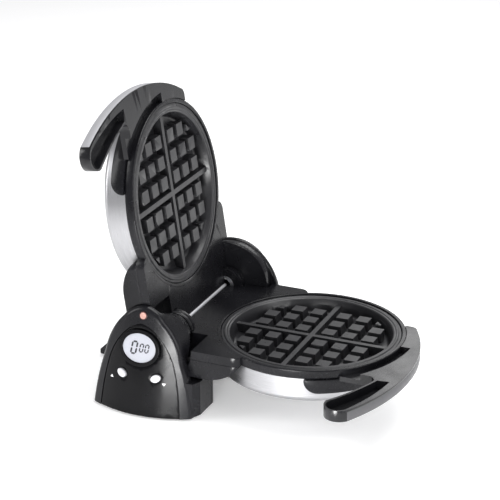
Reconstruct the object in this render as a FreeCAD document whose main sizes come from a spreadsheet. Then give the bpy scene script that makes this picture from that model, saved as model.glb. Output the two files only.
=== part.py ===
import FreeCAD, Part
import Sketcher
import math
import os
from FreeCAD import Placement, Rotation, Vector

"""Flip-over waffle maker, standing with its lid open.

The origin is on the table, straight below the hinge line. +Z is up, +X runs along the
closed body towards the handle, and -Y is the side with the timer, which faces the user.
Each half is drawn in its own local frame: the hinge line at the origin, u (local X)
towards the handle, w (local Z) out of the half through its cover, and w = 0 the plane
where the two halves meet. The base is drawn straight in the object's frame.
"""

doc = FreeCAD.newDocument("waffle_maker")
sheet = doc.addObject("Spreadsheet::Sheet", "sizes")

DRIVING_SIZES = {
    # where things stand
    "hinge_height": 76.0, "lid_open_angle": 98.7, "disc_offset": 140.4,
    # round body
    "rim_radius": 106.0, "rim_band": 10.0, "seat_radius": 101.0, "ledge_radius": 95.5,
    "pan_radius": 104.2, "pan_sheet": 0.8, "pan_depth": 38.5, "dome_depth": 45.0, "dome_flat": 30.0,
    # cast grid plate
    "flange_radius": 100.6, "cavity_radius": 91.0, "floor_radius": 87.5, "floor_level": 17.0,
    "plate_wall": 3.2, "ridge_level": 6.3, "ridge_width": 4.6, "peg_pitch": 23.7, "peg_first": 15.6,
    "peg_width": 17.0, "peg_draft": 7.0, "peg_reach": 84.5,
    # heating and heat shield
    "heater_ring": 62.0, "heater_tube": 3.2, "heater_turn": 300.0, "shield_radius": 88.0, "shield_level": 29.0,
    "boss_circle": 78.0,
    # neck and shoulders that carry the hinge
    "shoulder_width": 104.0, "shoulder_end": 99.0, "shoulder_lip": 7.0, "neck_depth": 31.0,
    "neck_flat": 58.0, "neck_arc": 48.0, "neck_heel": 20.0, "corner_round": 12.0, "skin": 3.0,
    "neck_near": 58.6, "neck_far": 91.6, "near_gap_radius": 41.0, "far_gap_radius": 50.5, "joint_gap": 0.5,
    # hinge
    "ear_radius": 20.0, "ear_width": 5.6, "ear_gap_radius": 21.2, "shaft_radius": 11.0,
    "shaft_bore": 7.0, "running_gap": 0.05, "bush_radius": 16.0,
    "strip_radius": 2.0, "strip_near": 46.4, "strip_far": 79.4,
    # handle
    "grip_arc": 240.0, "grip_centre_u": 35.2, "grip_centre_v": 56.8, "grip_start": 52.0,
    "grip_start_u": 238.0, "grip_root_arc": 197.0, "grip_join_u": 274.2,
    "grip_join_v": 35.0, "tip_radius": 15.5, "tip_u": 232.5, "tip_v": 162.6,
    "notch_u": 237.5, "notch_v": 96.0, "notch_radius": 10.3, "hook_arc": 300.0,
    "grip_depth": 12.6, "grip_wall": 3.0, "channel_start": 93.0, "channel_depth": 10.0,
    "dip_u": 257.5, "dip_v": 3.0, "dip_end_u": 229.5, "dip_arc": 142.0, "dip_depth": 7.0,
    "channel_u": 246.5, "channel_width": 17.5, "trim_sheet": 2.6, "trim_edge": 2.4,
    "guard_start_u": 31.6, "guard_end_u": 93.0, "shaft_near": 95.0, "shaft_far": 104.0,
    "guard_radius": 108.2, "guard_depth": 26.0,
    # front tower
    "arch_centre": -12.2, "arch_foot": 60.3, "arch_knee": 47.3, "arch_knee_height": 64.0,
    "arch_neck": 24.5, "arch_neck_height": 108.0, "arch_height": 122.3,
    "foot_round": 260.0, "knee_round": 78.0, "neck_round": 34.0,
    "display_x": -13.0, "lamp_x": -10.7, "bezel_long": 24.5, "bezel_short": 21.0,
    "display_long": 19.8, "display_short": 16.2, "stem_radius": 2.6,
    "gland_radius": 5.5, "gland_height": 15.0,
    "front_reach": 136.0, "front_bulge": 120.0, "front_round": 6.5, "front_lean": 0.2, "arch_back": 105.2,
    "tower_inner": 61.0, "cone_wide": 39.5, "cone_narrow": 20.5, "web_wide": 31.0,
    "front_web": 20.0, "block_left": 62.0, "block_right": 52.5, "block_inner": 40.0,
    "block_front": 116.0, "block_bend": 78.0, "block_round": 14.5,
    "panel_foot": 48.0, "panel_knee": 39.5, "panel_knee_height": 58.0, "panel_neck": 18.0,
    "panel_neck_height": 94.0, "panel_height": 103.5,
    # rear tower
    "rear_inner": 92.6, "rear_middle": 105.2, "rear_outer": 112.0, "rear_radius": 48.0,
    "fin_foot": 60.0, "fin_knee": 55.0, "fin_neck": 34.0, "fin_neck_height": 110.0, "fin_height": 124.6,
    "fin_round": 45.0,
    # base
    "bridge_half": 21.0, "bridge_height": 17.0, "leg_reach": 122.0, "leg_half": 14.0,
    "leg_centre": 6.0, "leg_tip_height": 8.0, "foot_height": 2.0, "foot_radius": 7.0,
    "block_height": 31.0, "flank_height": 42.0, "plate_sheet": 1.5,
    # timer controls
    "display_height": 77.0, "lamp_height": 113.0,
    "lamp_radius": 3.6, "button_height": 46.0, "button_spread": 20.4, "button_long": 5.6,
    "button_short": 4.0,
}


class Size:
    """A number that also carries the sheet expression it was worked out from."""

    def __init__(self, value, text=None):
        self.value = float(value)
        self.text = text or ("%.6g" % self.value)

    def join(self, other, sign, value, reverse=False):
        first, second = (other, self) if reverse else (self, other)
        return Size(value, "(%s %s %s)" % (first.text, sign, second.text))

    def __add__(self, other):
        other = size(other)
        return self.join(other, "+", self.value + other.value)

    def __radd__(self, other):
        return size(other) + self

    def __sub__(self, other):
        other = size(other)
        return self.join(other, "-", self.value - other.value)

    def __rsub__(self, other):
        return size(other) - self

    def __mul__(self, other):
        other = size(other)
        return self.join(other, "*", self.value * other.value)

    def __rmul__(self, other):
        return size(other) * self

    def __truediv__(self, other):
        other = size(other)
        return self.join(other, "/", self.value / other.value)

    def __neg__(self):
        return self * -1


def size(number):
    return number if isinstance(number, Size) else Size(number)


class Sizes:
    """The driving sizes, read by name."""


d = Sizes()
for row, (alias, number) in enumerate(DRIVING_SIZES.items(), start=1):
    sheet.set("A%d" % row, alias)
    sheet.set("B%d" % row, str(number))
    sheet.setAlias("B%d" % row, alias)
    setattr(d, alias, Size(number, "sizes." + alias))
doc.recompute()


# ---------------------------------------------------------------- small tools

def bind(thing, prop, number):
    """Set a property of an object and tie it to the sheet."""
    number = size(number)
    if "." not in prop:
        setattr(thing, prop, number.value)
    thing.setExpression(prop, number.text)


def stand(thing, x=0, y=0, z=0, turn=None):
    """Place an object at a point that is tied to the sheet."""
    spot = [size(number) for number in (x, y, z)]
    thing.Placement = Placement(Vector(*[number.value for number in spot]), turn or Rotation())
    for axis, number in zip("xyz", spot):
        thing.setExpression("Placement.Base." + axis, number.text)
    return thing


ALONG_Y = Rotation(Vector(1, 0, 0), -90)
ALONG_X = Rotation(Vector(0, 1, 0), 90)


def box(name, x, y, z):
    """A block from pairs of limits along X, Y and Z."""
    block = doc.addObject("Part::Box", name)
    for prop, (low, high) in zip(("Length", "Width", "Height"), (x, y, z)):
        bind(block, prop, size(high) - low)
    return stand(block, x[0], y[0], z[0])


def rod(name, radius, height, x=0, y=0, z=0, turn=None):
    """A cylinder that stands on a point, along Z unless it is turned."""
    cylinder = doc.addObject("Part::Cylinder", name)
    bind(cylinder, "Radius", radius)
    bind(cylinder, "Height", height)
    return stand(cylinder, x, y, z, turn)


def rod_y(name, radius, low, high, x=0, z=0):
    """A cylinder along Y between two limits."""
    return rod(name, radius, size(high) - low, x, low, z, ALONG_Y)


def cut(name, base, *tools):
    result = base
    for count, tool in enumerate(tools):
        step = doc.addObject("Part::Cut", name if count == len(tools) - 1 else "%s_cut%d" % (name, count))
        step.Base, step.Tool = result, tool
        result = step
    return result


def fuse(name, *shapes):
    whole = doc.addObject("Part::MultiFuse", name)
    whole.Shapes = list(shapes)
    whole.Refine = True
    return whole


def common(name, *shapes):
    shared = doc.addObject("Part::MultiCommon", name)
    shared.Shapes = list(shapes)
    return shared


def arc_middle(start, end, radius):
    """The middle point of an arc; a positive radius bulges to the right of start -> end."""
    chord = Vector(end[0] - start[0], end[1] - start[1], 0)
    half = chord.Length / 2
    sagitta = abs(radius) - math.sqrt(max(radius * radius - half * half, 0))
    side = Vector(chord.y, -chord.x, 0).normalize() * math.copysign(sagitta, radius)
    return Vector((start[0] + end[0]) / 2, (start[1] + end[1]) / 2, 0) + side


def draw(sketch, corners):
    """Draw a closed outline of lines and arcs.

    Each corner is (x, y) or (x, y, radius); a radius makes the stretch that leaves that
    corner an arc. Every corner and radius is tied to the sheet.
    """
    points = [(size(corner[0]), size(corner[1])) for corner in corners]
    radii = [size(corner[2]) if len(corner) > 2 else None for corner in corners]
    count = len(points)
    first = sketch.GeometryCount
    flipped = []
    for index in range(count):
        start = (points[index][0].value, points[index][1].value)
        end = (points[(index + 1) % count][0].value, points[(index + 1) % count][1].value)
        if radii[index] is None:
            edge = Part.LineSegment(Vector(*start, 0), Vector(*end, 0))
            flipped.append(False)
        else:
            middle = arc_middle(start, end, radii[index].value)
            edge = Part.Arc(Vector(*start, 0), middle, Vector(*end, 0))
            flipped.append(radii[index].value < 0)
        sketch.addGeometry(edge)
    for index in range(count):
        near_end = 2 if flipped[index] else 1
        far_end = 3 - near_end
        following = (index + 1) % count
        following_end = 2 if flipped[following] else 1
        sketch.addConstraint(Sketcher.Constraint(
            "Coincident", first + index, far_end, first + following, following_end))
        for kind, number in zip(("DistanceX", "DistanceY"), points[index]):
            place = sketch.addConstraint(Sketcher.Constraint(
                kind, -1, 1, first + index, near_end, number.value))
            sketch.setExpression("Constraints[%d]" % place, number.text)
        if radii[index] is not None:
            number = -radii[index] if radii[index].value < 0 else radii[index]
            place = sketch.addConstraint(Sketcher.Constraint("Radius", first + index, number.value))
            sketch.setExpression("Constraints[%d]" % place, number.text)


def prism(name, corners, low, high, plane="XY"):
    """A solid between two levels, from an outline drawn in the XY or the XZ plane."""
    sketch = doc.addObject("Sketcher::SketchObject", name + "_outline")
    draw(sketch, corners)
    low, high = size(low), size(high)
    if plane == "XY":
        stand(sketch, 0, 0, low)
        direction = Vector(0, 0, 1)
    else:
        stand(sketch, 0, low, 0, Rotation(Vector(1, 0, 0), 90))
        direction = Vector(0, 1, 0)
    solid = doc.addObject("Part::Extrusion", name)
    solid.Base = sketch
    solid.DirMode = "Custom"
    solid.Dir = direction
    solid.Solid = True
    bind(solid, "LengthFwd", high - low)
    return solid


def plane_of(body, role):
    return [feature for feature in body.Origin.OriginFeatures if feature.Role == role][0]


def body_sketch(body, name, role):
    sketch = body.newObject("Sketcher::SketchObject", name)
    sketch.AttachmentSupport = [(plane_of(body, role), "")]
    sketch.MapMode = "FlatFace"
    return sketch


def turned_body(name, corners, turn=360):
    """A body of revolution about its own Z axis, from an outline of (radius, height)."""
    body = doc.addObject("PartDesign::Body", name)
    sketch = body_sketch(body, name + "_section", "XZ_Plane")
    draw(sketch, corners)
    ring = body.newObject("PartDesign::Revolution", name + "_turned")
    ring.Profile = sketch
    ring.ReferenceAxis = (sketch, ["V_Axis"])
    ring.Angle = turn
    body.Tip = ring
    return body


finished = {}


def finish(thing, name, frame=None, local=None):
    """Give a sub-part its name and its place in the object's frame."""
    thing.Label = name
    if frame is not None:
        own = local or Placement()
        for axis in "xyz":
            thing.setExpression("Placement.Base." + axis, None)
        thing.Placement = frame.multiply(own)
    finished[name] = thing
    return thing


HINGE = Vector(0, 0, d.hinge_height.value)
LOWER = Placement(HINGE, Rotation(Vector(1, 0, 0), 180))
UPPER = Placement(HINGE, Rotation(Vector(0, 1, 0), -d.lid_open_angle.value))
BASE = Placement()


# ---------------------------------------------------------------- the two halves

def span_y(near, first, second):
    """Limits along v for a stretch measured from the middle towards the timer side."""
    ends = (size(first) * near, size(second) * near)
    return ends if ends[0].value < ends[1].value else (ends[1], ends[0])


def neck_solid(name, near, inset, low, high):
    """The neck and shoulders as one block, shrunk by an inset, between two levels of w."""
    width = d.shoulder_width - inset
    far_u = d.shoulder_end - inset
    plan = prism(name + "_plan", [
        (size(inset), -width), (far_u - d.corner_round, -width, d.corner_round),
        (far_u, d.corner_round - width), (far_u, width - d.corner_round, d.corner_round),
        (far_u - d.corner_round, width), (size(inset), width)], low, high)
    deep = d.neck_depth - inset
    side = prism(name + "_side", [
        (size(inset), size(-5)), (far_u, size(-5)), (far_u, d.shoulder_lip - inset, d.neck_arc),
        (d.neck_flat, deep), (d.neck_heel + inset, deep, d.neck_heel),
        (size(inset), deep - d.neck_heel)], -d.shoulder_width, d.shoulder_width, "XZ")
    gaps = []
    for label, start, radius in (("near", d.neck_near, d.near_gap_radius),
                                 ("far", d.neck_far, d.far_gap_radius)):
        facing = near if label == "near" else -near
        gaps.append(rod_y("%s_%s_gap" % (name, label), radius + inset,
                          *span_y(facing, start - inset, d.shoulder_width + 5)))
    return cut(name, common(name + "_block", plan, side), *gaps)


def ear_slots(near, outer):
    """Limits along v of one pair of hinge ears: outer is the pair next to the towers."""
    slots = []
    for facing, end in ((near, d.neck_near), (-near, d.neck_far)):
        start = end - d.ear_width if outer else end - d.ear_width * 2 - d.joint_gap
        slots.append(span_y(facing, start, start + d.ear_width))
    return slots


def frame_ring(prefix):
    """The round rim of a frame with the ledge that the grid plate sits on."""
    ring = turned_body(prefix + "_ring", [
        (d.seat_radius, 0.8), (d.seat_radius + 0.8, 0), (d.rim_radius - 1.5, 0, 1.5),
        (d.rim_radius, 1.5), (d.rim_radius, d.rim_band - 0.6), (d.rim_radius - 0.6, d.rim_band),
        (d.pan_radius + 0.2, d.rim_band), (d.pan_radius + 0.2, d.rim_band - 2),
        (d.pan_radius - 1.2, d.rim_band - 2), (d.pan_radius - 1.2, d.rim_band + 3),
        (d.pan_radius - 3.2, d.rim_band + 3), (d.pan_radius - 3.2, d.rim_band - 2),
        (d.ledge_radius, d.rim_band - 2), (d.ledge_radius, 5), (d.seat_radius, 5)])
    return stand(ring, d.disc_offset)


def half_frame(prefix, near, own_outer, frame):
    """Black moulded frame: rim, shoulders, neck and one pair of hinge ears."""
    tag = prefix + "_frame"
    block = neck_solid(tag + "_neck", near, 0, 0, d.rim_band)
    hollow = cut(tag + "_tray", neck_solid(tag + "_inside", near, d.skin, d.skin, d.rim_band + 1),
                 rod(tag + "_tray_rim", d.rim_radius + 1, 20, d.disc_offset),
                 box(tag + "_ear_root", (-1, 30), (-d.shoulder_width, d.shoulder_width), (-1, 20)))
    seat = rod(tag + "_seat", d.rim_radius - 1, 20, d.disc_offset, 0, -1)
    solid = fuse(tag + "_blank", cut(tag + "_tub", block, hollow, seat), frame_ring(tag))
    ears, clears = [], []
    for label, outer in (("own", own_outer), ("other", not own_outer)):
        for count, slot in enumerate(ear_slots(near, outer)):
            spot = "%s_%s_ear%d" % (tag, label, count)
            if label == "own":
                ears.append(rod_y(spot, d.ear_radius, *slot))
            else:
                clears.append(rod_y(spot, d.ear_gap_radius, slot[0] - d.joint_gap, slot[1] + d.joint_gap))
    whole = fuse(tag + "_eared", cut(tag + "_cleared", solid, *clears), *ears)
    bore = d.shaft_radius + (d.running_gap if own_outer else 0)
    bores = [rod_y("%s_bore%d" % (tag, count), bore, slot[0] - 1, slot[1] + 1)
             for count, slot in enumerate(ear_slots(near, own_outer))]
    room = d.running_gap if frame is UPPER else d.joint_gap
    groove = rod_y(tag + "_strip_groove", d.strip_radius + room, *span_y(near, -d.strip_far, d.strip_near))
    finish(cut(tag, whole, *bores, groove), tag, frame)


def neck_cover(prefix, near, own_outer, frame):
    """Shell that closes the neck and shoulders on the outside of a half."""
    tag = prefix + "_neck_cover"
    start = d.rim_band + 0.3
    shell = cut(tag + "_shell", neck_solid(tag + "_outside", near, 0, start, d.neck_depth + 1),
                neck_solid(tag + "_inside", near, d.skin, start - 1, d.neck_depth + 1),
                rod(tag + "_pan_gap", d.pan_radius + 0.4, 60, d.disc_offset, 0, -1))
    clears = []
    for label, outer in (("outer", True), ("inner", False)):
        for count, slot in enumerate(ear_slots(near, outer)):
            clears.append(rod_y("%s_%s%d" % (tag, label, count), d.ear_gap_radius,
                                slot[0] - d.joint_gap, slot[1] + d.joint_gap))
    finish(cut(tag, shell, *clears), tag, frame)


def pan(prefix, frame):
    """Brushed steel pan that covers the outside of a half."""
    tag = prefix + "_pan"
    bend = 6
    wall_in, skirt = d.pan_radius - d.pan_sheet, d.rim_band - 1.6
    rise, run = d.dome_depth - d.pan_depth, d.pan_radius - bend - d.dome_flat
    bow = (run * run + rise * rise) / (rise * 2)
    body = turned_body(tag, [
        (wall_in, skirt), (d.pan_radius, skirt), (d.pan_radius, d.pan_depth - bend, bend + 1),
        (d.pan_radius - bend, d.pan_depth, bow), (d.dome_flat, d.dome_depth), (0, d.dome_depth),
        (0, d.dome_depth - d.pan_sheet), (d.dome_flat, d.dome_depth - d.pan_sheet, -bow),
        (d.pan_radius - bend, d.pan_depth - d.pan_sheet), (wall_in, d.pan_depth - bend)])
    finish(body, tag, frame, Placement(Vector(d.disc_offset.value, 0, 0), Rotation()))


def grid_plate(prefix, frame):
    """Cast non-stick plate: round cavity, cross ridges and rows of drafted pegs."""
    tag = prefix + "_grid"
    wall = d.plate_wall
    body = turned_body(tag, [
        (0, d.floor_level), (d.floor_radius - 3, d.floor_level, -3), (d.floor_radius, d.floor_level - 3),
        (d.cavity_radius, 2.2), (d.cavity_radius + 1.4, 1.2), (d.cavity_radius + 3.2, 1.2),
        (d.cavity_radius + 4.2, 0.5), (d.cavity_radius + 5.8, 0.5), (d.cavity_radius + 6.8, 1.5),
        (d.flange_radius - 0.6, 1.5), (d.flange_radius, 2.1), (d.flange_radius, 5),
        (d.cavity_radius + wall, 5), (d.floor_radius + wall, d.floor_level + 1),
        (d.floor_radius - 1, d.floor_level + wall), (0, d.floor_level + wall)])
    half = d.peg_width / 2
    peg_plane = body_sketch(body, tag + "_peg", "XY_Plane")
    bind_offset(peg_plane, d.floor_level)
    draw(peg_plane, square(d.peg_first, d.peg_first, half))
    peg = body.newObject("PartDesign::Pad", tag + "_first_peg")
    peg.Profile = peg_plane
    bind(peg, "Length", d.floor_level - d.ridge_level)
    peg.Reversed = True
    bind(peg, "TaperAngle", -d.peg_draft)
    doc.recompute()
    rows = pattern(body, tag + "_pegs", peg)
    trim = body_sketch(body, tag + "_trim", "XZ_Plane")
    draw(trim, [(d.peg_reach, d.ridge_level - 1), (d.cavity_radius - 1.2, d.ridge_level - 1),
                (d.floor_radius, d.floor_level - 3, 3), (d.floor_radius - 3, d.floor_level),
                (d.peg_reach - 1.4, d.floor_level)])
    draw(trim, [(d.cavity_radius + wall, 5), (d.cavity_radius + 22, 5),
                (d.cavity_radius + 22, d.floor_level + 0.6), (d.floor_radius + wall, d.floor_level + 0.6)])
    groove = body.newObject("PartDesign::Groove", tag + "_rib_channel")
    groove.Profile = trim
    groove.ReferenceAxis = (trim, ["V_Axis"])
    groove.Angle = 360
    for label, role in (("ridge_u", "XZ_Plane"), ("ridge_v", "YZ_Plane")):
        section = body_sketch(body, "%s_%s" % (tag, label), role)
        top, foot = d.ridge_width / 2, d.ridge_width / 2 + 1
        reach = d.cavity_radius - 0.5
        draw(section, [(-reach, d.ridge_level), (reach, d.ridge_level), (d.floor_radius, d.floor_level + 1),
                       (-d.floor_radius, d.floor_level + 1)])
        ridge = body.newObject("PartDesign::Pad", "%s_%s_pad" % (tag, label))
        ridge.Profile = section
        bind(ridge, "Length", top + foot)
        ridge.Midplane = True
    bosses = body_sketch(body, tag + "_boss", "XY_Plane")
    bind_offset(bosses, d.floor_level + 1)
    reach = d.boss_circle
    draw(bosses, square(reach, 0, 4))
    post = body.newObject("PartDesign::Pad", tag + "_boss_pad")
    post.Profile = bosses
    bind(post, "Length", d.shield_level - d.floor_level - 1)
    posts = body.newObject("PartDesign::PolarPattern", tag + "_bosses")
    posts.Originals = [post]
    posts.Axis = (plane_of(body, "Z_Axis"), [""])
    posts.Angle = 360
    posts.Occurrences = 4
    body.Tip = posts
    drills = screw_holes(tag, half_screw_spots(), d.shield_level - SCREW_DEPTH - 0.5, d.shield_level + 1)
    finish(cut(tag + "_drilled", body, *drills), tag, frame, disc_place())


def bind_offset(sketch, level):
    sketch.AttachmentOffset = Placement(Vector(0, 0, level.value), Rotation())
    sketch.setExpression("AttachmentOffset.Base.z", level.text)


def square(x, y, half):
    return [(x - half, y - half), (x + half, y - half), (x + half, y + half), (x - half, y + half)]


def pattern(body, name, feature):
    """Three rows of three, mirrored into the four quarters of the plate."""
    steps = []
    many = body.newObject("PartDesign::MultiTransform", name)
    many.Originals = [feature]
    for label, role in (("columns", "X_Axis"), ("rows", "Y_Axis")):
        line = body.newObject("PartDesign::LinearPattern", "%s_%s" % (name, label))
        line.Direction = (plane_of(body, role), [""])
        bind(line, "Length", d.peg_pitch * 2)
        line.Occurrences = 3
        steps.append(line)
    for label, role in (("left", "YZ_Plane"), ("back", "XZ_Plane")):
        mirror = body.newObject("PartDesign::Mirrored", "%s_%s" % (name, label))
        mirror.MirrorPlane = (plane_of(body, role), [""])
        steps.append(mirror)
    many.Transformations = steps
    body.Tip = many
    return many


SHIELD_SHEET = 0.8
SCREW_SHANK = 1.5
SCREW_DEPTH = 6.0


def half_screw_spots():
    """The four screws round the middle of a half, as (u, v)."""
    reach = d.boss_circle.value
    return [(reach, 0), (0, reach), (-reach, 0), (0, -reach)]


def screw_holes(tag, spots, low, high):
    """Holes along Z that the screw shanks fit in."""
    return [rod("%s_drill%d" % (tag, count), SCREW_SHANK + d.running_gap, size(high) - low, x, y, low)
            for count, (x, y) in enumerate(spots)]


def disc_place(u=0, v=0, w=0, turn=0):
    """A place in a half, measured from the middle of its round body."""
    return Placement(Vector(d.disc_offset.value + u, v, w), Rotation(Vector(0, 0, 1), turn))


def heating(prefix, frame):
    """Tubular heater, thermostat and heat shield behind the grid plate."""
    tag = prefix + "_heater"
    level = d.floor_level + d.plate_wall + d.heater_tube
    ring = doc.addObject("Part::Torus", tag + "_ring")
    bind(ring, "Radius1", d.heater_ring)
    bind(ring, "Radius2", d.heater_tube)
    bind(ring, "Angle3", d.heater_turn)
    pins = []
    for label, turn in (("start", Rotation(Vector(1, 0, 0), 90)), ("end", Rotation(Vector(1, 0, 0), -90))):
        pins.append(rod("%s_%s" % (tag, label), d.heater_tube * 0.6, 16, d.heater_ring, 0, 0, turn))
    end_turn = Rotation(Vector(0, 0, 1), d.heater_turn.value)
    pins[1].Placement = Placement(Vector(), end_turn).multiply(Placement(Vector(d.heater_ring.value, 0, 0),
                                                                         Rotation(Vector(1, 0, 0), -90)))
    for axis in "xyz":
        pins[1].setExpression("Placement.Base." + axis, None)
    finish(fuse(tag, ring, *pins), tag, frame,
           disc_place(w=level.value, turn=180 - d.heater_turn.value / 2))

    tag = prefix + "_thermostat"
    back = d.floor_level + d.plate_wall
    finish(turned_body(tag, [(0, back), (11, back), (11, back + 1.2), (8, back + 1.2), (8, back + 7.4),
                             (6.8, back + 8.2), (0, back + 8.2)]), tag, frame, disc_place())

    tag = prefix + "_heat_shield"
    rim, top = d.shield_radius, d.shield_level + SHIELD_SHEET
    plate = turned_body(tag, [(0, d.shield_level), (rim - 1, d.shield_level), (rim - 1, d.shield_level - 4),
                              (rim, d.shield_level - 4), (rim, top), (0, top)])
    drills = screw_holes(tag, half_screw_spots(), d.shield_level - 1, top + 1)
    finish(cut(tag + "_drilled", plate, *drills), tag, frame, disc_place())


def screw_set(tag, spots, head_radius, head_height, shank_radius, shank_length, turn=None):
    """One pan-head screw at every spot: the head stands on the spot, the shank goes along -Z."""
    screws = []
    for count, spot in enumerate(spots):
        head = rod("%s_head%d" % (tag, count), head_radius, head_height, 0, 0, 0)
        shank = rod("%s_shank%d" % (tag, count), shank_radius, shank_length + 0.5, 0, 0, -shank_length)
        slot = box("%s_slot%d" % (tag, count), (-head_radius, head_radius), (-0.4, 0.4),
                   (head_height * 0.55, head_height + 1))
        screw = cut("%s_screw%d" % (tag, count), fuse("%s_blank%d" % (tag, count), head, shank), slot)
        screw.Placement = Placement(Vector(*spot), turn or Rotation())
        screws.append(screw)
    group = doc.addObject("Part::Compound", tag)
    group.Links = screws
    return group


def half_screws(prefix, frame):
    tag = prefix + "_screws"
    level = d.shield_level.value + SHIELD_SHEET
    spots = [(u, v, level) for u, v in half_screw_spots()]
    finish(screw_set(tag, spots, 3.4, 1.8, SCREW_SHANK, SCREW_DEPTH), tag, frame, disc_place())


def hook(prefix, near, frame):
    """Handle that sweeps round the front of a half and ends in an open hook."""
    tag = prefix + "_handle"

    def flip(outline):
        turned = []
        for corner in outline:
            point = [size(corner[0]), size(corner[1]) * near]
            if len(corner) > 2:
                point.append(size(corner[2]) * near)
            turned.append(tuple(point))
        return turned

    tip_gap = d.grip_arc - d.tip_radius
    tip_end_u = d.grip_centre_u + (d.tip_u - d.grip_centre_u) * d.grip_arc / tip_gap
    tip_end_v = d.grip_centre_v + (d.tip_v - d.grip_centre_v) * d.grip_arc / tip_gap
    inner_u, inner_v = d.tip_u - d.tip_radius * 0.93, d.tip_v - d.tip_radius * 0.36
    start_u, start_v = d.grip_start_u + 11.2, 7 - d.grip_start
    end_v = d.notch_v - d.notch_radius
    outline = [
        (d.disc_offset + 88, -d.grip_start), (d.grip_start_u, -d.grip_start, 10),
        (start_u, start_v, d.grip_root_arc), (d.grip_join_u, d.grip_join_v, d.grip_arc),
        (tip_end_u, tip_end_v, d.tip_radius + 0.3),
        (inner_u, inner_v, -d.hook_arc), (d.notch_u + d.notch_radius, d.notch_v, -d.notch_radius),
        (d.notch_u, end_v), (d.disc_offset + 66, end_v)]
    blank = prism(tag + "_blank", flip(outline), 0, d.grip_depth)
    seat = rod(tag + "_rim_seat", d.rim_radius + 0.15, d.rim_band + 1.3, d.disc_offset, 0, -1)
    pan_seat = rod(tag + "_pan_seat", d.pan_radius + 0.2, 60, d.disc_offset, 0, -1)
    dip = prism(tag + "_dip", flip([(d.disc_offset + 60, d.dip_v), (d.dip_u, d.dip_v, d.dip_arc),
                                    (d.dip_end_u, end_v), (d.dip_end_u - 2, end_v + 2),
                                    (d.disc_offset + 60, end_v + 2)]), -1, d.dip_depth)
    wall = d.grip_wall
    slot_tip = d.tip_radius - wall
    slot_gap = d.grip_arc - wall * 2 - slot_tip
    slot_end_u = d.grip_centre_u + (d.tip_u - d.grip_centre_u) * (d.grip_arc - wall) / tip_gap
    slot_end_v = d.grip_centre_v + (d.tip_v - d.grip_centre_v) * (d.grip_arc - wall) / tip_gap
    channel = prism(tag + "_channel", flip([
        (d.notch_u + d.notch_radius + d.grip_wall, d.channel_start),
        (d.channel_u + d.channel_width, d.channel_start - 2,
                                         d.grip_arc - wall),
        (slot_end_u, slot_end_v, slot_tip), (d.tip_u - slot_tip * 0.93, d.tip_v - slot_tip * 0.36,
                                             -d.hook_arc - wall)]), -1, d.channel_depth)
    shoulder = d.trim_sheet
    trim_end_u = d.grip_centre_u + (d.tip_u - d.grip_centre_u) * (d.grip_arc - shoulder) / tip_gap
    trim_end_v = d.grip_centre_v + (d.tip_v - d.grip_centre_v) * (d.grip_arc - shoulder) / tip_gap
    band = [(start_u - shoulder, start_v, d.grip_root_arc - shoulder),
            (d.grip_join_u - shoulder, d.grip_join_v, d.grip_arc - shoulder), (trim_end_u, trim_end_v),
            (tip_end_u + 6, tip_end_v + 3.3), (tip_end_u + 60, tip_end_v - 60), (start_u + 40, start_v)]
    trim_zone = prism(tag + "_trim_zone", flip(band), d.trim_edge, d.grip_depth + 1)
    finish(cut(tag, blank, seat, pan_seat, dip, channel, trim_zone), tag, frame)

    tag = prefix + "_handle_trim"
    trim_blank = prism(tag + "_blank", flip(outline), d.trim_edge, d.grip_depth)
    trim = common(tag, trim_blank, prism(tag + "_zone", flip(band), d.trim_edge, d.grip_depth + 1))
    finish(trim, tag, frame)

    tag = prefix + "_finger_guard"
    left, right = d.disc_offset + d.guard_start_u, d.disc_offset + d.guard_end_u
    shield = prism(tag + "_face", [
        (left, 10.4), (right, 10.4), (right, d.guard_depth), (left + 15, d.guard_depth, 15),
        (left, d.guard_depth - 15)], -120 if near < 0 else 20, -20 if near < 0 else 120, "XZ")
    wrap = cut(tag + "_wrap", rod(tag + "_outer", d.guard_radius, 40, d.disc_offset),
               rod(tag + "_inner", d.pan_radius + 0.1, 60, d.disc_offset, 0, -1))
    clear = prism(tag + "_handle_room", flip(outline), -1, d.grip_depth + 0.2)
    finish(cut(tag, common(tag + "_blank", shield, wrap), clear), tag, frame)


HALVES = (("lower", 1, False, LOWER), ("upper", -1, True, UPPER))
for prefix, near, own_outer, frame in HALVES:
    half_frame(prefix, near, own_outer, frame)
    neck_cover(prefix, near, own_outer, frame)
    pan(prefix, frame)
    grid_plate(prefix, frame)
    heating(prefix, frame)
    hook(prefix, near, frame)
    half_screws(prefix, frame)

for tag, low, high in (("front_shaft", -d.shaft_near, -d.neck_near + d.ear_width * 2 + d.joint_gap),
                       ("rear_shaft", d.neck_far - d.ear_width * 2 - d.joint_gap, d.shaft_far)):
    tube = cut(tag, rod_y(tag + "_bar", d.shaft_radius, low, high, 0, d.hinge_height),
               rod_y(tag + "_wire_way", d.shaft_bore, low - 1, high + 1, 0, d.hinge_height))
    finish(tube, tag)

tag = "hinge_strip"
finish(rod_y(tag, d.strip_radius, 0.5 - d.strip_near, d.strip_far - 0.5, 0, d.hinge_height), tag)


# ---------------------------------------------------------------- base

def arch(name, centre, foot, knee, neck, height, low, high, top_round=None):
    """An arched outline between two planes along Y; knee and neck are (half width, height)."""
    crown = top_round or d.neck_round
    return prism(name, [
        (centre - foot, d.foot_height), (centre + foot, d.foot_height, d.foot_round),
        (centre + knee[0], knee[1], d.knee_round), (centre + neck[0], neck[1], crown),
        (centre, height, crown), (centre - neck[0], neck[1], d.knee_round),
        (centre - knee[0], knee[1], d.foot_round)], low, high, "XZ")


FACE_HALF = 70.0
FACE_ROOT = -20
FACE_SAG = d.front_bulge.value - math.sqrt(d.front_bulge.value ** 2 - FACE_HALF ** 2)


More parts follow.
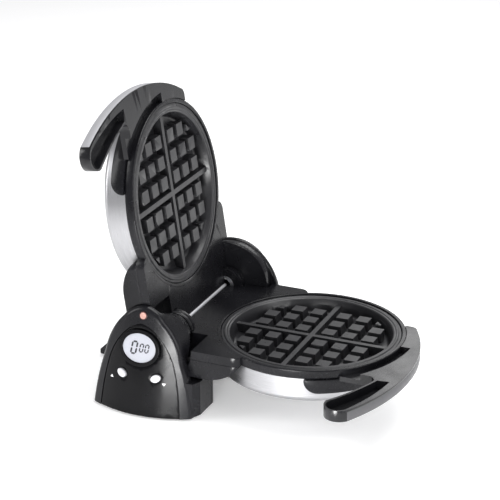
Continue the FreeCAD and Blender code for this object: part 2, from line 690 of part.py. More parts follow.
def leaning(name, inset):
    """Everything behind the leaning, bowed front face, moved back by an inset."""
    side = d.front_reach - inset - FACE_SAG
    sketch = doc.addObject("Sketcher::SketchObject", name + "_outline")
    left, right = d.arch_centre - FACE_HALF, d.arch_centre + FACE_HALF
    draw(sketch, [(left, FACE_ROOT), (left, -side, d.front_bulge), (right, -side), (right, FACE_ROOT)])
    solid = doc.addObject("Part::Extrusion", name)
    solid.Base = sketch
    solid.DirMode = "Custom"
    solid.Dir = Vector(0, d.front_lean.value, 1).normalize()
    solid.Solid = True
    bind(solid, "LengthFwd", d.arch_height + 10)
    return solid


def tower_arch(name, inset, back=-d.arch_back):
    return arch(name, d.arch_centre, d.arch_foot - inset, (d.arch_knee - inset, d.arch_knee_height),
                (d.arch_neck - inset, d.arch_neck_height), d.arch_height - inset, -150, back)


def panel_arch(name, grow):
    return arch(name, d.arch_centre, d.panel_foot + grow, (d.panel_knee + grow, d.panel_knee_height),
                (d.panel_neck + grow, d.panel_neck_height), d.panel_height + grow, -150, -d.arch_back - 1)


def face_y(x, z, inset=0):
    """How far along Y the leaning front face is at a point of the arch."""
    bulge = d.front_bulge.value
    sag = bulge - math.sqrt(bulge * bulge - (x - d.arch_centre.value) ** 2)
    return -(d.front_reach.value - inset - sag) + d.front_lean.value * z


def on_face(x, z, inset=0):
    """A place on the front face with its local Z pointing straight out of it."""
    bulge = d.front_bulge.value
    side = (x - d.arch_centre.value) / bulge
    forward = math.sqrt(1 - side * side)
    out = Vector(side, -forward, d.front_lean.value * forward)
    return Placement(Vector(x, face_y(x, z, inset), z), Rotation(Vector(1, 0, 0), Vector(0, 0, 1), out, "ZYX"))


def oval(name, long, short, low, high, place):
    """An oval slab on the front face, between two depths along the face's outward normal."""
    ellipse = doc.addObject("Part::Ellipse", name + "_edge")
    bind(ellipse, "MajorRadius", long)
    bind(ellipse, "MinorRadius", short)
    stand(ellipse, 0, 0, low)
    slab = doc.addObject("Part::Extrusion", name)
    slab.Base = ellipse
    slab.DirMode = "Custom"
    slab.Dir = Vector(0, 0, 1)
    slab.Solid = True
    bind(slab, "LengthFwd", size(high) - low)
    slab.Placement = place
    return slab


def placed_rod(name, radius, low, high, place):
    """A cylinder on the front face, between two depths along the face's outward normal."""
    peg = rod(name, radius, size(high) - low)
    for axis in "xyz":
        peg.setExpression("Placement.Base." + axis, None)
    peg.Placement = place.multiply(Placement(Vector(0, 0, low), Rotation()))
    return peg


def rounded(name, blank, radius):
    """Rounds every edge of a block that bounds the leaning front face, except along its foot."""
    doc.recompute()
    picked = []
    for number, edge in enumerate(blank.Shape.Edges, start=1):
        spots = edge.discretize(5)
        on_front = all(abs(spot.y - face_y(spot.x, spot.z)) < 0.05 for spot in spots)
        if on_front and max(spot.z for spot in spots) > d.foot_height.value + 1:
            picked.append((number, radius.value, radius.value))
    fillet = doc.addObject("Part::Fillet", name)
    fillet.Base = blank
    fillet.Edges = picked
    return fillet


DISPLAY = on_face(d.display_x.value, d.display_height.value)
LAMP = on_face(d.lamp_x.value, d.lamp_height.value)
BUTTONS = {
    "left": on_face(d.arch_centre.value - d.button_spread.value, d.button_height.value),
    "right": on_face(d.arch_centre.value + d.button_spread.value, d.button_height.value),
}
BUTTON_TILTS = {side: Placement(Vector(), Rotation(Vector(0, 0, 1), turn))
                for side, turn in (("left", -35), ("right", 20))}
PANEL_BACK = 3.2
CONE_STEP = 2.0
WALL_BACK = 6.2

# front tower
tag = "front_tower"
shell = rounded(tag + "_rounded", common(tag + "_shell", leaning(tag + "_face", 0), tower_arch(tag + "_arch", 0)),
                d.front_round)
room = common(tag + "_room", leaning(tag + "_room_face", WALL_BACK), tower_arch(tag + "_room_arch", 3),
              box(tag + "_room_box", (-90, 70), (-150, -d.arch_back - 2.5), (d.foot_height + 3, 130)))
recess = common(tag + "_recess", cut(tag + "_recess_depth", leaning(tag + "_recess_front", -2),
                                     leaning(tag + "_recess_back", PANEL_BACK)),
                panel_arch(tag + "_recess_arch", 0.35))
cone = doc.addObject("Part::Cone", tag + "_cone")
bind(cone, "Radius1", d.cone_wide)
bind(cone, "Radius2", d.cone_narrow)
bind(cone, "Height", d.arch_back - d.tower_inner)
stand(cone, 0, -d.arch_back, d.hinge_height, ALONG_Y)
drum = common(tag + "_drum", cone, tower_arch(tag + "_drum_arch", CONE_STEP, -d.tower_inner + 1))
web = box(tag + "_web", (-d.front_web, d.front_web), (-d.arch_back - 1, -d.tower_inner),
          (d.foot_height, d.hinge_height))


def tower_block(name, inset, low, high):
    """The wide foot behind the arch, with rounded inner corners."""
    left, right, inner = d.block_left - inset, d.block_right - inset, d.tower_inner + inset
    flank = d.block_front - (inset * 4)
    turn = d.block_round - inset
    return prism(name, [
        (-left, -flank), (right - 5, -flank), (right, -flank + 10), (right, -d.block_bend, turn),
        (d.block_inner - inset, -inner), (inset - d.block_inner, -inner, turn + 8),
        (-left, -d.block_bend - 4)], low, high)


block = tower_block(tag + "_block", 0, d.foot_height, d.block_height)
flank = common(tag + "_flank", tower_block(tag + "_flank_plan", 0, d.foot_height, d.flank_height),
               box(tag + "_flank_side", (0, d.block_left), (-d.block_front, -d.tower_inner), (0, d.arch_height)))
block_room = tower_block(tag + "_block_room", 3, -1, d.block_height - 3)
board_room = common(tag + "_board_room",
                    rod_y(tag + "_board_disc", d.cone_wide - 5, -d.arch_back - 4, -d.shaft_near - 3, 0,
                          d.hinge_height),
                    tower_arch(tag + "_board_arch", CONE_STEP + 3, -d.shaft_near))
bush_seat = rod_y(tag + "_bush_seat", d.bush_radius, -d.shaft_near - 1, 10 - d.tower_inner, 0, d.hinge_height)
holes = [oval(tag + "_display_hole", d.bezel_long, d.bezel_short, -9, 5, DISPLAY),
         placed_rod(tag + "_lamp_hole", d.lamp_radius + 1, -9, 5, LAMP)]
for side, place in BUTTONS.items():
    holes.append(placed_rod("%s_%s_stem_hole" % (tag, side), d.stem_radius + 0.5, -9, 5, place))
finish(cut(tag, fuse(tag + "_blank", shell, drum, web, block, flank), room, recess, board_room, bush_seat,
           block_room, *holes), tag)

tag = "control_panel"
skin = cut(tag + "_skin", leaning(tag + "_front", 0.7), leaning(tag + "_back", PANEL_BACK))
holes = [oval(tag + "_display_hole", d.bezel_long, d.bezel_short, -9, 5, DISPLAY)]
for side, place in BUTTONS.items():
    holes.append(oval("%s_%s_hole" % (tag, side), d.button_long + 0.6, d.button_short + 0.6, -9, 5,
                      place.multiply(BUTTON_TILTS[side])))
finish(cut(tag, common(tag + "_blank", skin, panel_arch(tag + "_arch", 0)), *holes), tag)

tag = "display_bezel"
finish(cut(tag, oval(tag + "_body", d.bezel_long - 0.3, d.bezel_short - 0.3, -5, 1.6, DISPLAY),
           oval(tag + "_hole", d.display_long + 0.2, d.display_short + 0.2, -6, 5, DISPLAY)), tag)
finish(oval("display_window", d.display_long, d.display_short, -1.6, 0.2, DISPLAY), "display_window")

tag = "display_module"
module = box(tag, (-18, 18), (-13, 13), (-11, -5.4))
finish(module, tag, DISPLAY, Placement(Vector(-18, -13, -10.6), Rotation()))

tag = "indicator_ring"
finish(cut(tag, placed_rod(tag + "_body", d.lamp_radius + 0.9, -6, 0.9, LAMP),
           placed_rod(tag + "_hole", d.lamp_radius + 0.1, -7, 2, LAMP)), tag)
finish(placed_rod("indicator_lens", d.lamp_radius, -3, 1.4, LAMP), "indicator_lens")
finish(placed_rod("indicator_lamp", d.lamp_radius - 1, -6, -3.2, LAMP), "indicator_lamp")

for side, place in BUTTONS.items():
    tag = "timer_button_" + side
    tilt = BUTTON_TILTS[side]
    cap = oval(tag + "_cap", d.button_long, d.button_short, -1.7, 1.9, place.multiply(tilt))
    crown = oval(tag + "_crown", d.button_long - 0.8, d.button_short - 0.8, 1.9, 2.3, place.multiply(tilt))
    finish(fuse(tag, cap, crown, placed_rod(tag + "_stem", d.stem_radius, -8.4, -1.5, place)), tag)

# timer electronics
finish(box("timer_board", (-24, 18), (-d.shaft_near - 7, -d.shaft_near - 5.4), (54, 90)), "timer_board")
middle = on_face(d.arch_centre.value, d.button_height.value)
board = box("switch_board", (-28, 28), (-6, 6), (-16.6, -15))
finish(board, "switch_board", middle, Placement(Vector(-28, -6, -16.6), Rotation()))
switches = []
for side, place in BUTTONS.items():
    switch = box("tact_switch_" + side, (-3, 3), (-3, 3), (-14, -11))
    shift = middle.inverse().multiply(place).Base
    for axis in "xyz":
        switch.setExpression("Placement.Base." + axis, None)
    switch.Placement = middle.multiply(Placement(Vector(shift.x - 3, shift.y - 3, -15), Rotation()))
    switches.append(switch)
group = doc.addObject("Part::Compound", "tact_switches")
group.Links = switches
finish(group, "tact_switches")
floor = d.foot_height + 3
finish(rod("buzzer", 6.4, 7, 24, -114.5, floor), "buzzer")
finish(box("terminal_block", (-24, 6), (-121, -111), (floor, floor + 11)), "terminal_block")

# rear tower
SCREW_RING = 36.0
COVER_BOSS = 4.0
COVER_SINK = 1.6
COVER_SCREWS = []
for turn in (90, 210, 330):
    COVER_SCREWS.append((SCREW_RING * math.cos(math.radians(turn)), 0,
                         d.hinge_height.value + SCREW_RING * math.sin(math.radians(turn))))


def cover_holes(tag, radius, low, high):
    """Rods along Y at the three cover screws."""
    return [rod_y("%s_hole%d" % (tag, count), radius, low, high, spot[0], spot[2])
            for count, spot in enumerate(COVER_SCREWS)]


tag = "rear_tower"
drum = rod_y(tag + "_drum", d.rear_radius, d.rear_inner, d.rear_middle, 0, d.hinge_height)
web = box(tag + "_web", (-d.web_wide, d.web_wide), (d.rear_inner, d.rear_middle),
          (d.foot_height, d.hinge_height))
block = box(tag + "_block", (-d.block_inner, d.block_inner), (d.rear_inner, d.rear_middle),
            (d.foot_height, d.block_height))
drum_room = cut(tag + "_drum_room", rod_y(tag + "_drum_hollow", d.rear_radius - 3.5, d.rear_inner + 3,
                                          d.rear_middle + 1, 0, d.hinge_height),
                rod_y(tag + "_bush_boss", d.bush_radius + 3, d.rear_inner, d.rear_middle + 2, 0,
                      d.hinge_height))
wire_room = box(tag + "_wire_room", (-20, 20), (d.rear_inner + 3, d.rear_middle + 1),
                (d.foot_height + 3, d.hinge_height - 30))
bush_seat = rod_y(tag + "_bush_seat", d.bush_radius, d.rear_inner - 1, d.rear_middle + 1, 0, d.hinge_height)
hollowed = cut(tag + "_hollowed", fuse(tag + "_blank", drum, web, block), drum_room, wire_room, bush_seat)
bosses = cover_holes(tag + "_boss", COVER_BOSS, d.rear_inner + 1, d.rear_middle)
finish(cut(tag, fuse(tag + "_bossed", hollowed, *bosses),
           *cover_holes(tag, SCREW_SHANK + d.running_gap, d.rear_inner + 3, d.rear_middle + 1)), tag)

tag = "rear_cover"
fin = arch(tag + "_fin", size(0), d.fin_foot, (d.fin_knee, d.hinge_height), (d.fin_neck, d.fin_neck_height),
           d.fin_height, d.rear_middle, d.rear_outer, d.fin_round)
hollow = rod_y(tag + "_hollow", d.rear_radius - 4, d.rear_middle - 1, d.rear_outer - 2.8, 0, d.hinge_height)
sinks = cover_holes(tag + "_sink", 3.6, d.rear_outer - COVER_SINK, d.rear_outer + 1)
sinks += cover_holes(tag, SCREW_SHANK + d.running_gap, d.rear_middle - 1, d.rear_outer)
gland_hole = rod_y(tag + "_gland_hole", d.gland_radius, d.rear_middle - 1, d.rear_outer + 1, 0, d.gland_height)
finish(cut(tag, fin, hollow, gland_hole, *sinks), tag)

tag = "cord_gland"
gland = turned_body(tag, [(3.4, -5), (d.gland_radius, -5), (d.gland_radius, 0), (d.gland_radius + 2, 0),
                          (d.gland_radius + 2, 1.6), (d.gland_radius - 0.6, 3.4), (3.4, 3.4)])
finish(gland, tag, BASE, Placement(Vector(0, d.rear_outer.value, d.gland_height.value), ALONG_Y))

for tag, low, high in (("front_bush", -d.shaft_near - 0.6, -d.tower_inner - 0.4),
                       ("rear_bush", d.rear_inner + 0.4, d.rear_middle - 0.2)):
    finish(cut(tag, rod_y(tag + "_body", d.bush_radius, low, high, 0, d.hinge_height),
               rod_y(tag + "_bore", d.shaft_radius + d.running_gap, low - 1, high + 1, 0, d.hinge_height)), tag)

# base frame and its feet
def cross(name, inset, low, high):
    """Cross-shaped outline of the bridge and the two legs."""
    half, reach = d.bridge_half - inset, d.leg_reach - inset
    near, far = d.leg_centre - d.leg_half + inset, d.leg_centre + d.leg_half - inset
    front, back = inset - d.tower_inner, d.rear_inner - inset
    return prism(name, [(-half, front), (half, front), (half, near), (reach, near), (reach, far),
                        (half, far), (half, back), (-half, back), (-half, far), (-reach, far),
                        (-reach, near), (-half, near)], low, high)


def roof(name, inset):
    """Roof line of the base: level over the bridge, falling towards the ends of the legs."""
    top, tip = d.bridge_height - inset, d.leg_tip_height - inset
    return prism(name, [(-d.leg_reach, -2), (d.leg_reach, -2), (d.leg_reach, tip), (d.bridge_half, top),
                        (-d.bridge_half, top), (-d.leg_reach, tip)], -d.tower_inner - 5, d.rear_inner + 5, "XZ")


tag = "base_frame"
outside = common(tag + "_outside", cross(tag + "_cross", 0, d.foot_height, 40), roof(tag + "_roof", 0))
inside = common(tag + "_inside", cross(tag + "_room", d.skin, -1, 40), roof(tag + "_room_roof", d.skin))
BASE_SCREW_DEPTH = 5.0
BASE_SCREWS = [(0, -48, 0), (0, 78, 0), (-98, 6, 0), (98, 6, 0)]
posts = [common("%s_post%d" % (tag, count), rod("%s_rod%d" % (tag, count), 4, 20, spot[0], spot[1],
                                                d.foot_height + d.plate_sheet),
                roof("%s_post_roof%d" % (tag, count), 1))
         for count, spot in enumerate(BASE_SCREWS)]
post_spots = [spot[:2] for spot in BASE_SCREWS]
drills = screw_holes(tag, post_spots, 0, d.foot_height + BASE_SCREW_DEPTH + 0.5)
finish(cut(tag, fuse(tag + "_posted", cut(tag + "_shell", outside, inside), *posts), *drills), tag)
tag = "base_plate"
drills = screw_holes(tag, post_spots, 0, d.foot_height + BASE_SCREW_DEPTH)
finish(cut(tag, cross(tag + "_sheet", d.skin + 0.2, d.foot_height, d.foot_height + d.plate_sheet), *drills), tag)

tag = "base_screws"
spots = [(spot[0], spot[1], d.foot_height.value) for spot in BASE_SCREWS]
finish(screw_set(tag, spots, 3, 1.2, SCREW_SHANK, BASE_SCREW_DEPTH, Rotation(Vector(1, 0, 0), 180)), tag)
tag = "cover_screws"
spots = [(spot[0], d.rear_outer.value - COVER_SINK, spot[2]) for spot in COVER_SCREWS]
finish(screw_set(tag, spots, 3.2, 1.4, SCREW_SHANK, 10, ALONG_Y), tag)

FEET = [(34, -113), (-54, -113), (38, 99), (-38, 99), (112, 6), (-112, 6), (0, 0)]
pads = []
for count, (x, y) in enumerate(FEET):
    pad = rod("foot%d" % count, d.foot_radius if abs(y) < 98 or y < 0 else d.foot_radius - 1,
              d.foot_height, x, y, 0)
    pads.append(pad)
group = doc.addObject("Part::Compound", "rubber_feet")
group.Links = pads
finish(group, "rubber_feet")

# ---------------------------------------------------------------- finish

doc.recompute()
faults = []
for thing in doc.Objects:
    if "Invalid" in thing.State or "Error" in thing.State:
        faults.append("%s %s" % (thing.Name, thing.State))
for name, thing in finished.items():
    shape = thing.Shape
    if shape.isNull() or not shape.isValid():
        faults.append(name + " has no valid shape")
if faults:
    raise RuntimeError("; ".join(faults))
os.makedirs("parts", exist_ok=True)
for name, thing in finished.items():
    thing.Shape.exportStep("parts/%s.step" % name)
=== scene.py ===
import math

import bmesh
import bpy
from mathutils import Matrix, Vector
from mathutils.bvhtree import BVHTree


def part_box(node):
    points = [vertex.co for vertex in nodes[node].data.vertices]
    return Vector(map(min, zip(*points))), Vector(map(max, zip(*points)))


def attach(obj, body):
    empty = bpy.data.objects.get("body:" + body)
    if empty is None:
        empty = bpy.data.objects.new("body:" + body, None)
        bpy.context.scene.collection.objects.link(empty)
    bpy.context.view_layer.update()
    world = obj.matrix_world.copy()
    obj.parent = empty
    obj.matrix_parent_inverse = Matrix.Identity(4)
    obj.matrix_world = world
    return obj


# Looks of the flip-over waffle maker: finishes, edge rounding, the timer's digits and printed
# marks, and the studio. All lengths are in metres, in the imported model's frame.

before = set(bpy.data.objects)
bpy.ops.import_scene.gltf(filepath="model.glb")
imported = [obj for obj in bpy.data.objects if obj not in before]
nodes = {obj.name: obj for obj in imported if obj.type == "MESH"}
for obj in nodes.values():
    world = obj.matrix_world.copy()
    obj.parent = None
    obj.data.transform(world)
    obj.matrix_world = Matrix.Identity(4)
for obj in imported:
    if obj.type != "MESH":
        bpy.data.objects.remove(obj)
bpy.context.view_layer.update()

MM = 0.001
HINGE = Vector((0, 0, 76 * MM))
DISC_OFFSET = 140.4 * MM            # from the hinge line to the axis of a half's round plate
LID_ANGLE = math.radians(98.7)      # how far the lid stands open at rest

STEEL = (0.5, 0.5, 0.515)
BOARD_GREEN = (0.01, 0.09, 0.035)
BLACK = (0.005, 0.005, 0.0062)


# ---------------------------------------------------------------- finishes

class Finish:
    """One Principled material and the nodes that feed it."""

    def __init__(self, name, colour, roughness, metallic=0.0, **inputs):
        self.material = bpy.data.materials.new(name)
        self.material.use_nodes = True
        self.tree = self.material.node_tree
        self.shader = self.tree.nodes["Principled BSDF"]
        self.colour = colour
        self.roughness = roughness
        self.set("Base Color", (*colour, 1))
        self.set("Roughness", roughness)
        self.set("Metallic", metallic)
        for socket, value in inputs.items():
            self.set(socket.replace("_", " "), value)
        self.normal = None

    def set(self, socket, value):
        self.shader.inputs[socket].default_value = value

    def node(self, kind, **inputs):
        made = self.tree.nodes.new("ShaderNode" + kind)
        for socket, value in inputs.items():
            self.feed(made.inputs[socket.replace("_", " ")], value)
        return made

    def feed(self, socket, value):
        if isinstance(value, bpy.types.NodeSocket):
            self.tree.links.new(value, socket)
        else:
            socket.default_value = value

    def math(self, operation, first, second=0.0):
        made = self.node("Math")
        made.operation = operation
        self.feed(made.inputs[0], first)
        self.feed(made.inputs[1], second)
        return made.outputs[0]

    def place(self):
        """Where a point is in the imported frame; it stays with the piece as it moves."""
        return self.node("TexCoord").outputs["Object"]

    def noise(self, size, detail=3.0, rough=0.55, vector=None):
        """Noise whose blotches are about one size across, in metres."""
        made = self.node("TexNoise", Scale=1 / size, Detail=detail, Roughness=rough,
                         Vector=vector or self.place())
        return made.outputs["Fac"]

    def spread(self, value, low, high, start=0.3, end=0.7):
        """A noise value stretched to a range."""
        made = self.node("MapRange", Value=value, From_Min=start, From_Max=end,
                         To_Min=low, To_Max=high)
        return made.outputs["Result"]

    def mottle(self, other, value, start=0.35, end=0.65):
        """The base colour drifts towards another colour where the value is high."""
        ramp = self.node("ValToRGB", Fac=value)
        ramp.color_ramp.elements[0].position = start
        ramp.color_ramp.elements[0].color = (*self.colour, 1)
        ramp.color_ramp.elements[1].position = end
        ramp.color_ramp.elements[1].color = (*other, 1)
        self.feed(self.shader.inputs["Base Color"], ramp.outputs["Color"])
        return self

    def wear(self, value, swing):
        """Roughness swings either way with the value."""
        low, high = max(self.roughness - swing, 0.02), self.roughness + swing
        self.feed(self.shader.inputs["Roughness"], self.spread(value, low, high))
        return self

    def relief(self, value, depth, strength=1.0):
        """Bump of a real depth; a second call adds to the first."""
        bump = self.node("Bump", Strength=strength, Distance=depth, Height=value)
        if self.normal:
            self.feed(bump.inputs["Normal"], self.normal)
        self.normal = bump.outputs["Normal"]
        self.feed(self.shader.inputs["Normal"], self.normal)
        return self


def moulded(name, colour, roughness, grain=0.9 * MM, depth=0.02 * MM, **inputs):
    """Moulded plastic: fine grain, faint flow marks and fingerprints in the gloss."""
    made = Finish(name, colour, roughness, **inputs)
    lifted = tuple(min(channel * 1.5 + 0.002, 1) for channel in colour)
    made.mottle(lifted, made.noise(45 * MM, 4))
    made.wear(made.noise(18 * MM, 5), 0.05)
    made.relief(made.noise(grain, 2), depth, 0.35)
    return made


def metal(name, colour, roughness, grain=0.6 * MM, depth=0.015 * MM):
    """Bare or plated metal with faint stains."""
    made = Finish(name, colour, roughness, metallic=1.0)
    dark = tuple(channel * 0.78 for channel in colour)
    made.mottle(dark, made.noise(9 * MM, 5))
    made.wear(made.noise(6 * MM, 4), 0.07)
    made.relief(made.noise(grain, 2), depth, 0.4)
    return made


def silver_paint(name, colour, roughness):
    """Silver paint: fine metal flake in a clear binder."""
    made = Finish(name, colour, roughness, metallic=0.45)
    bright = tuple(min(channel * 1.15, 1) for channel in colour)
    made.mottle(bright, made.noise(0.25 * MM, 1), 0.45, 0.6)
    made.wear(made.noise(14 * MM, 4), 0.05)
    made.relief(made.noise(0.5 * MM, 2), 0.01 * MM, 0.3)
    return made


def brushed(name, colour, roughness, turn):
    """Steel brushed round the axis of a half, whose turn about the hinge is given."""
    made = Finish(name, colour, roughness, metallic=1.0)
    hinge = made.node("Mapping", Vector=made.place(), Location=-HINGE)
    level = made.node("Mapping", Vector=hinge.outputs[0], Rotation=(0, turn, 0))
    centred = made.node("Mapping", Vector=level.outputs[0], Location=(-DISC_OFFSET, 0, 0))
    parts = made.node("SeparateXYZ", Vector=centred.outputs[0])
    across, along, height = parts.outputs
    radius = made.math("SQRT", made.math(
        "ADD", made.math("MULTIPLY", across, across), made.math("MULTIPLY", along, along)))
    streak_spread = 5.0             # how quickly the streaks change round the circle
    lines = 1 / (0.35 * MM)         # streaks per metre outwards and up the wall
    streaks = made.node("CombineXYZ")
    for slot, side in enumerate((across, along)):
        turned = made.math("DIVIDE", side, radius)
        made.feed(streaks.inputs[slot], made.math("MULTIPLY", turned, streak_spread))
    made.feed(streaks.inputs[2], made.math("MULTIPLY", made.math("ADD", radius, height), lines))
    value = made.noise(1.0, 2, vector=streaks.outputs[0])
    darker = tuple(channel * 0.8 for channel in colour)
    made.mottle(darker, value, 0.3, 0.75)
    made.wear(value, 0.08)
    made.relief(value, 0.02 * MM, 0.3)
    return made


def coated_casting():
    """Cast aluminium under a dark non-stick coating: fine orange peel and small specks."""
    made = Finish("nonstick_casting", (0.017, 0.017, 0.019), 0.34, Specular_IOR_Level=0.45)
    made.mottle((0.032, 0.031, 0.033), made.noise(1.1 * MM, 2), 0.62, 0.72)
    made.wear(made.noise(12 * MM, 4), 0.07)
    made.relief(made.noise(2.2 * MM, 3), 0.07 * MM, 0.5)
    return made


def circuit_board():
    """Green solder mask with a pattern of lighter tracks."""
    made = Finish("circuit_board", BOARD_GREEN, 0.35, Coat_Weight=0.4)
    tracks = made.node("TexBrick", Vector=made.place(), Scale=1 / (6 * MM))
    tracks.inputs["Color1"].default_value = (*BOARD_GREEN, 1)
    tracks.inputs["Color2"].default_value = (0.012, 0.12, 0.05, 1)
    tracks.inputs["Mortar"].default_value = (0.03, 0.22, 0.09, 1)
    made.feed(made.shader.inputs["Base Color"], tracks.outputs["Color"])
    made.relief(made.noise(1.5 * MM), 0.03 * MM, 0.5)
    return made


FLOOR_GLOW = 0.3


def sweep(name, colour, roughness):
    """Plain studio paper that glows a little, so that the shadows stay pale."""
    made = Finish(name, colour, roughness)
    made.set("Emission Color", (*colour, 1))
    made.set("Emission Strength", FLOOR_GLOW)
    made.relief(made.noise(2 * MM, 2), 0.01 * MM, 0.2)
    return made


def liquid_crystal(name, colour):
    """The pale reflective sheet of the display, with a faint fine texture."""
    made = Finish(name, colour, 0.45, Coat_Weight=1.0, Coat_Roughness=0.03)
    made.mottle(tuple(channel * 0.93 for channel in colour), made.noise(0.8 * MM, 2), 0.4, 0.6)
    return made


# Each finish is given a colour and a roughness; plastics may also have a grain size and depth.
FINISHES = {
    "shell": moulded("shell_plastic", BLACK, 0.25, Specular_IOR_Level=0.24),
    "handle": moulded("handle_plastic", BLACK, 0.22, Specular_IOR_Level=0.42),
    "panel": moulded("panel_plastic", (0.002, 0.002, 0.0025), 0.2, 6 * MM, 0.01 * MM,
                     Specular_IOR_Level=0.16),
    "lower_steel": brushed("brushed_steel_lower", STEEL, 0.34, 0.0),
    "upper_steel": brushed("brushed_steel_upper", STEEL, 0.34, LID_ANGLE),
    "trim": silver_paint("silver_trim", (0.5, 0.5, 0.52), 0.42),
    # A darker copy of the silver trim: painted shade, for the lower handle's trim, which faces
    # less of the light than the lid's.
    "painted_shade_trim": silver_paint("silver_trim_painted_shade", (0.1, 0.1, 0.105), 0.4),
    "casting": coated_casting(),
    "zinc": metal("zinc_plate", (0.55, 0.56, 0.58), 0.32),
    "heater": metal("heat_darkened_tube", (0.2, 0.17, 0.15), 0.45),
    "bush": moulded("acetal", (0.62, 0.6, 0.54), 0.4),
    "ceramic": moulded("thermostat_body", (0.55, 0.5, 0.44), 0.55),
    "rubber": moulded("rubber", (0.016, 0.016, 0.016), 0.75, 0.5 * MM, 0.04 * MM),
    "board": circuit_board(),
    "small": moulded("small_black_part", (0.02, 0.02, 0.02), 0.5),
    "glass": liquid_crystal("display_sheet", (0.36, 0.37, 0.41)),
    "module": moulded("display_module_body", (0.5, 0.52, 0.48), 0.4),
    "button": moulded("button_white", (0.43, 0.43, 0.45), 0.25, Coat_Weight=0.3),
    "lens": moulded("lens_milky", (0.36, 0.2, 0.17), 0.22, 4 * MM, 0.005 * MM, Coat_Weight=0.6),
    "ring": moulded("lamp_ring_red", (0.035, 0.008, 0.008), 0.25, Coat_Weight=0.4),
    "ink_white": moulded("white_print", (0.7, 0.7, 0.72), 0.5, 2 * MM, 0.004 * MM),
    "ink_dark": moulded("digit_dark", (0.008, 0.008, 0.012), 0.5, 2 * MM, 0.004 * MM),
    "floor": sweep("studio_floor", (0.92, 0.92, 0.92), 0.7),
}

HALF_PARTS = {
    "frame": "shell", "neck_cover": "shell", "grid": "casting", "heater": "heater",
    "thermostat": "ceramic", "heat_shield": "zinc", "handle": "handle", "handle_trim": "trim",
    "finger_guard": "shell", "screws": "zinc",
}
NODE_FINISH = {
    "base_frame": "shell", "base_plate": "zinc", "base_screws": "zinc", "front_tower": "shell",
    "control_panel": "panel", "display_bezel": "panel", "display_window": "glass",
    "display_module": "module", "indicator_ring": "ring", "indicator_lens": "lens",
    "indicator_lamp": "lens", "timer_board": "board", "switch_board": "board",
    "tact_switches": "small", "buzzer": "small", "terminal_block": "bush", "front_bush": "bush",
    "rear_bush": "bush", "rear_tower": "shell", "rear_cover": "shell", "cover_screws": "zinc",
    "cord_gland": "rubber", "rubber_feet": "rubber", "front_shaft": "zinc", "rear_shaft": "zinc",
    "timer_button_left": "button", "timer_button_right": "button",
    # The hinge strip's silver is a painted highlight: it stands for the light caught on the
    # rounded edge of the lid's neck along the hinge.
    "lower_pan": "lower_steel", "upper_pan": "upper_steel", "hinge_strip": "trim",
}
for half in ("lower", "upper"):
    for part, look in HALF_PARTS.items():
        NODE_FINISH[half + "_" + part] = look
# The lower handle's trim is the same silver trim as the lid's, painted darker as shade.
NODE_FINISH["lower_handle_trim"] = "painted_shade_trim"


def paint(piece, look):
    """Gives a piece one of the finishes all over."""
    piece.data.materials.clear()
    piece.data.materials.append(FINISHES[look].material)


for name, node in nodes.items():
    paint(node, NODE_FINISH[name])


# ---------------------------------------------------------------- softened edges

WELD_REACH = 0.005 * MM
SHARP_ANGLE = math.radians(35.0)
ROUND_STEPS = 2


def soften(node, width):
    """Rounds a part's sharp edges, so that they catch the light."""
    weld = node.modifiers.new("weld", "WELD")
    weld.merge_threshold = WELD_REACH
    bevel = node.modifiers.new("bevel", "BEVEL")
    bevel.width = width
    bevel.segments = ROUND_STEPS
    bevel.limit_method = "ANGLE"
    bevel.angle_limit = SHARP_ANGLE
    bevel.use_clamp_overlap = True
    bevel.harden_normals = True


HALF_ROUNDS_MM = {
    "handle": 1.0, "handle_trim": 0.6, "neck_cover": 1.0, "frame": 0.6, "finger_guard": 0.8,
    "grid": 0.5, "screws": 0.2,
}
ROUNDS_MM = {
    "rear_cover": 1.2, "rear_tower": 0.6, "control_panel": 0.5, "display_bezel": 0.4,
    "timer_button_left": 0.5, "timer_button_right": 0.5, "indicator_lens": 0.5,
    "base_frame": 0.8, "cover_screws": 0.2,
}
for half in ("lower", "upper"):
    for part, width in HALF_ROUNDS_MM.items():
        soften(nodes[half + "_" + part], width * MM)
for name, width in ROUNDS_MM.items():
    soften(nodes[name], width * MM)


# ---------------------------------------------------------------- timer marks

PRINT_LIFT = -0.02 * MM     # a print starts just under the surface it is on
PRINT_THICK = 0.1 * MM
FRONT_START = -0.5          # Y of a point well in front of the timer tower


def landing(node, x, z):
    """Where a straight line along +Y meets a node's front, and the outward direction there."""
    mesh = nodes[node].data
    tree = BVHTree.FromPolygons([v.co for v in mesh.vertices], [p.vertices for p in mesh.polygons])
    spot, outward, _, _ = tree.ray_cast(Vector((x, FRONT_START, z)), Vector((0, 1, 0)))
    return spot, outward if outward.y < 0 else -outward


def facing(spot, outward, lift):
    """A frame on a surface: X to the right, Y up the surface, Z out of it."""
    right = Vector((0, 0, 1)).cross(outward).normalized()
    up = outward.cross(right)
    turn = Matrix((right, up, outward)).transposed().to_4x4()
    return Matrix.Translation(spot + outward * lift) @ turn


def flat_piece(name, outlines, place, thickness, look, body):
    """Thin raised shapes on a surface, from outlines in its own plane."""
    work = bmesh.new()
    for outline in outlines:
        work.faces.new([work.verts.new((x, y, 0)) for x, y in outline])
    solid = bmesh.ops.extrude_face_region(work, geom=work.faces[:])
    raised = [item for item in solid["geom"] if isinstance(item, bmesh.types.BMVert)]
    bmesh.ops.translate(work, verts=raised, vec=(0, 0, thickness))
    bmesh.ops.recalc_face_normals(work, faces=work.faces[:])
    mesh = bpy.data.meshes.new(name)
    work.to_mesh(mesh)
    work.free()
    mesh.transform(place)
    piece = bpy.data.objects.new(name, mesh)
    bpy.context.scene.collection.objects.link(piece)
    paint(piece, look)
    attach(piece, body)


SLANT = 0.16        # sideways lean of the digits, per unit of height
SEGMENT_GAP = 0.12  # gap between two bars, per unit of bar width
SEGMENTS_OF_ZERO = ("top", "bottom", "left_high", "left_low", "right_high", "right_low")


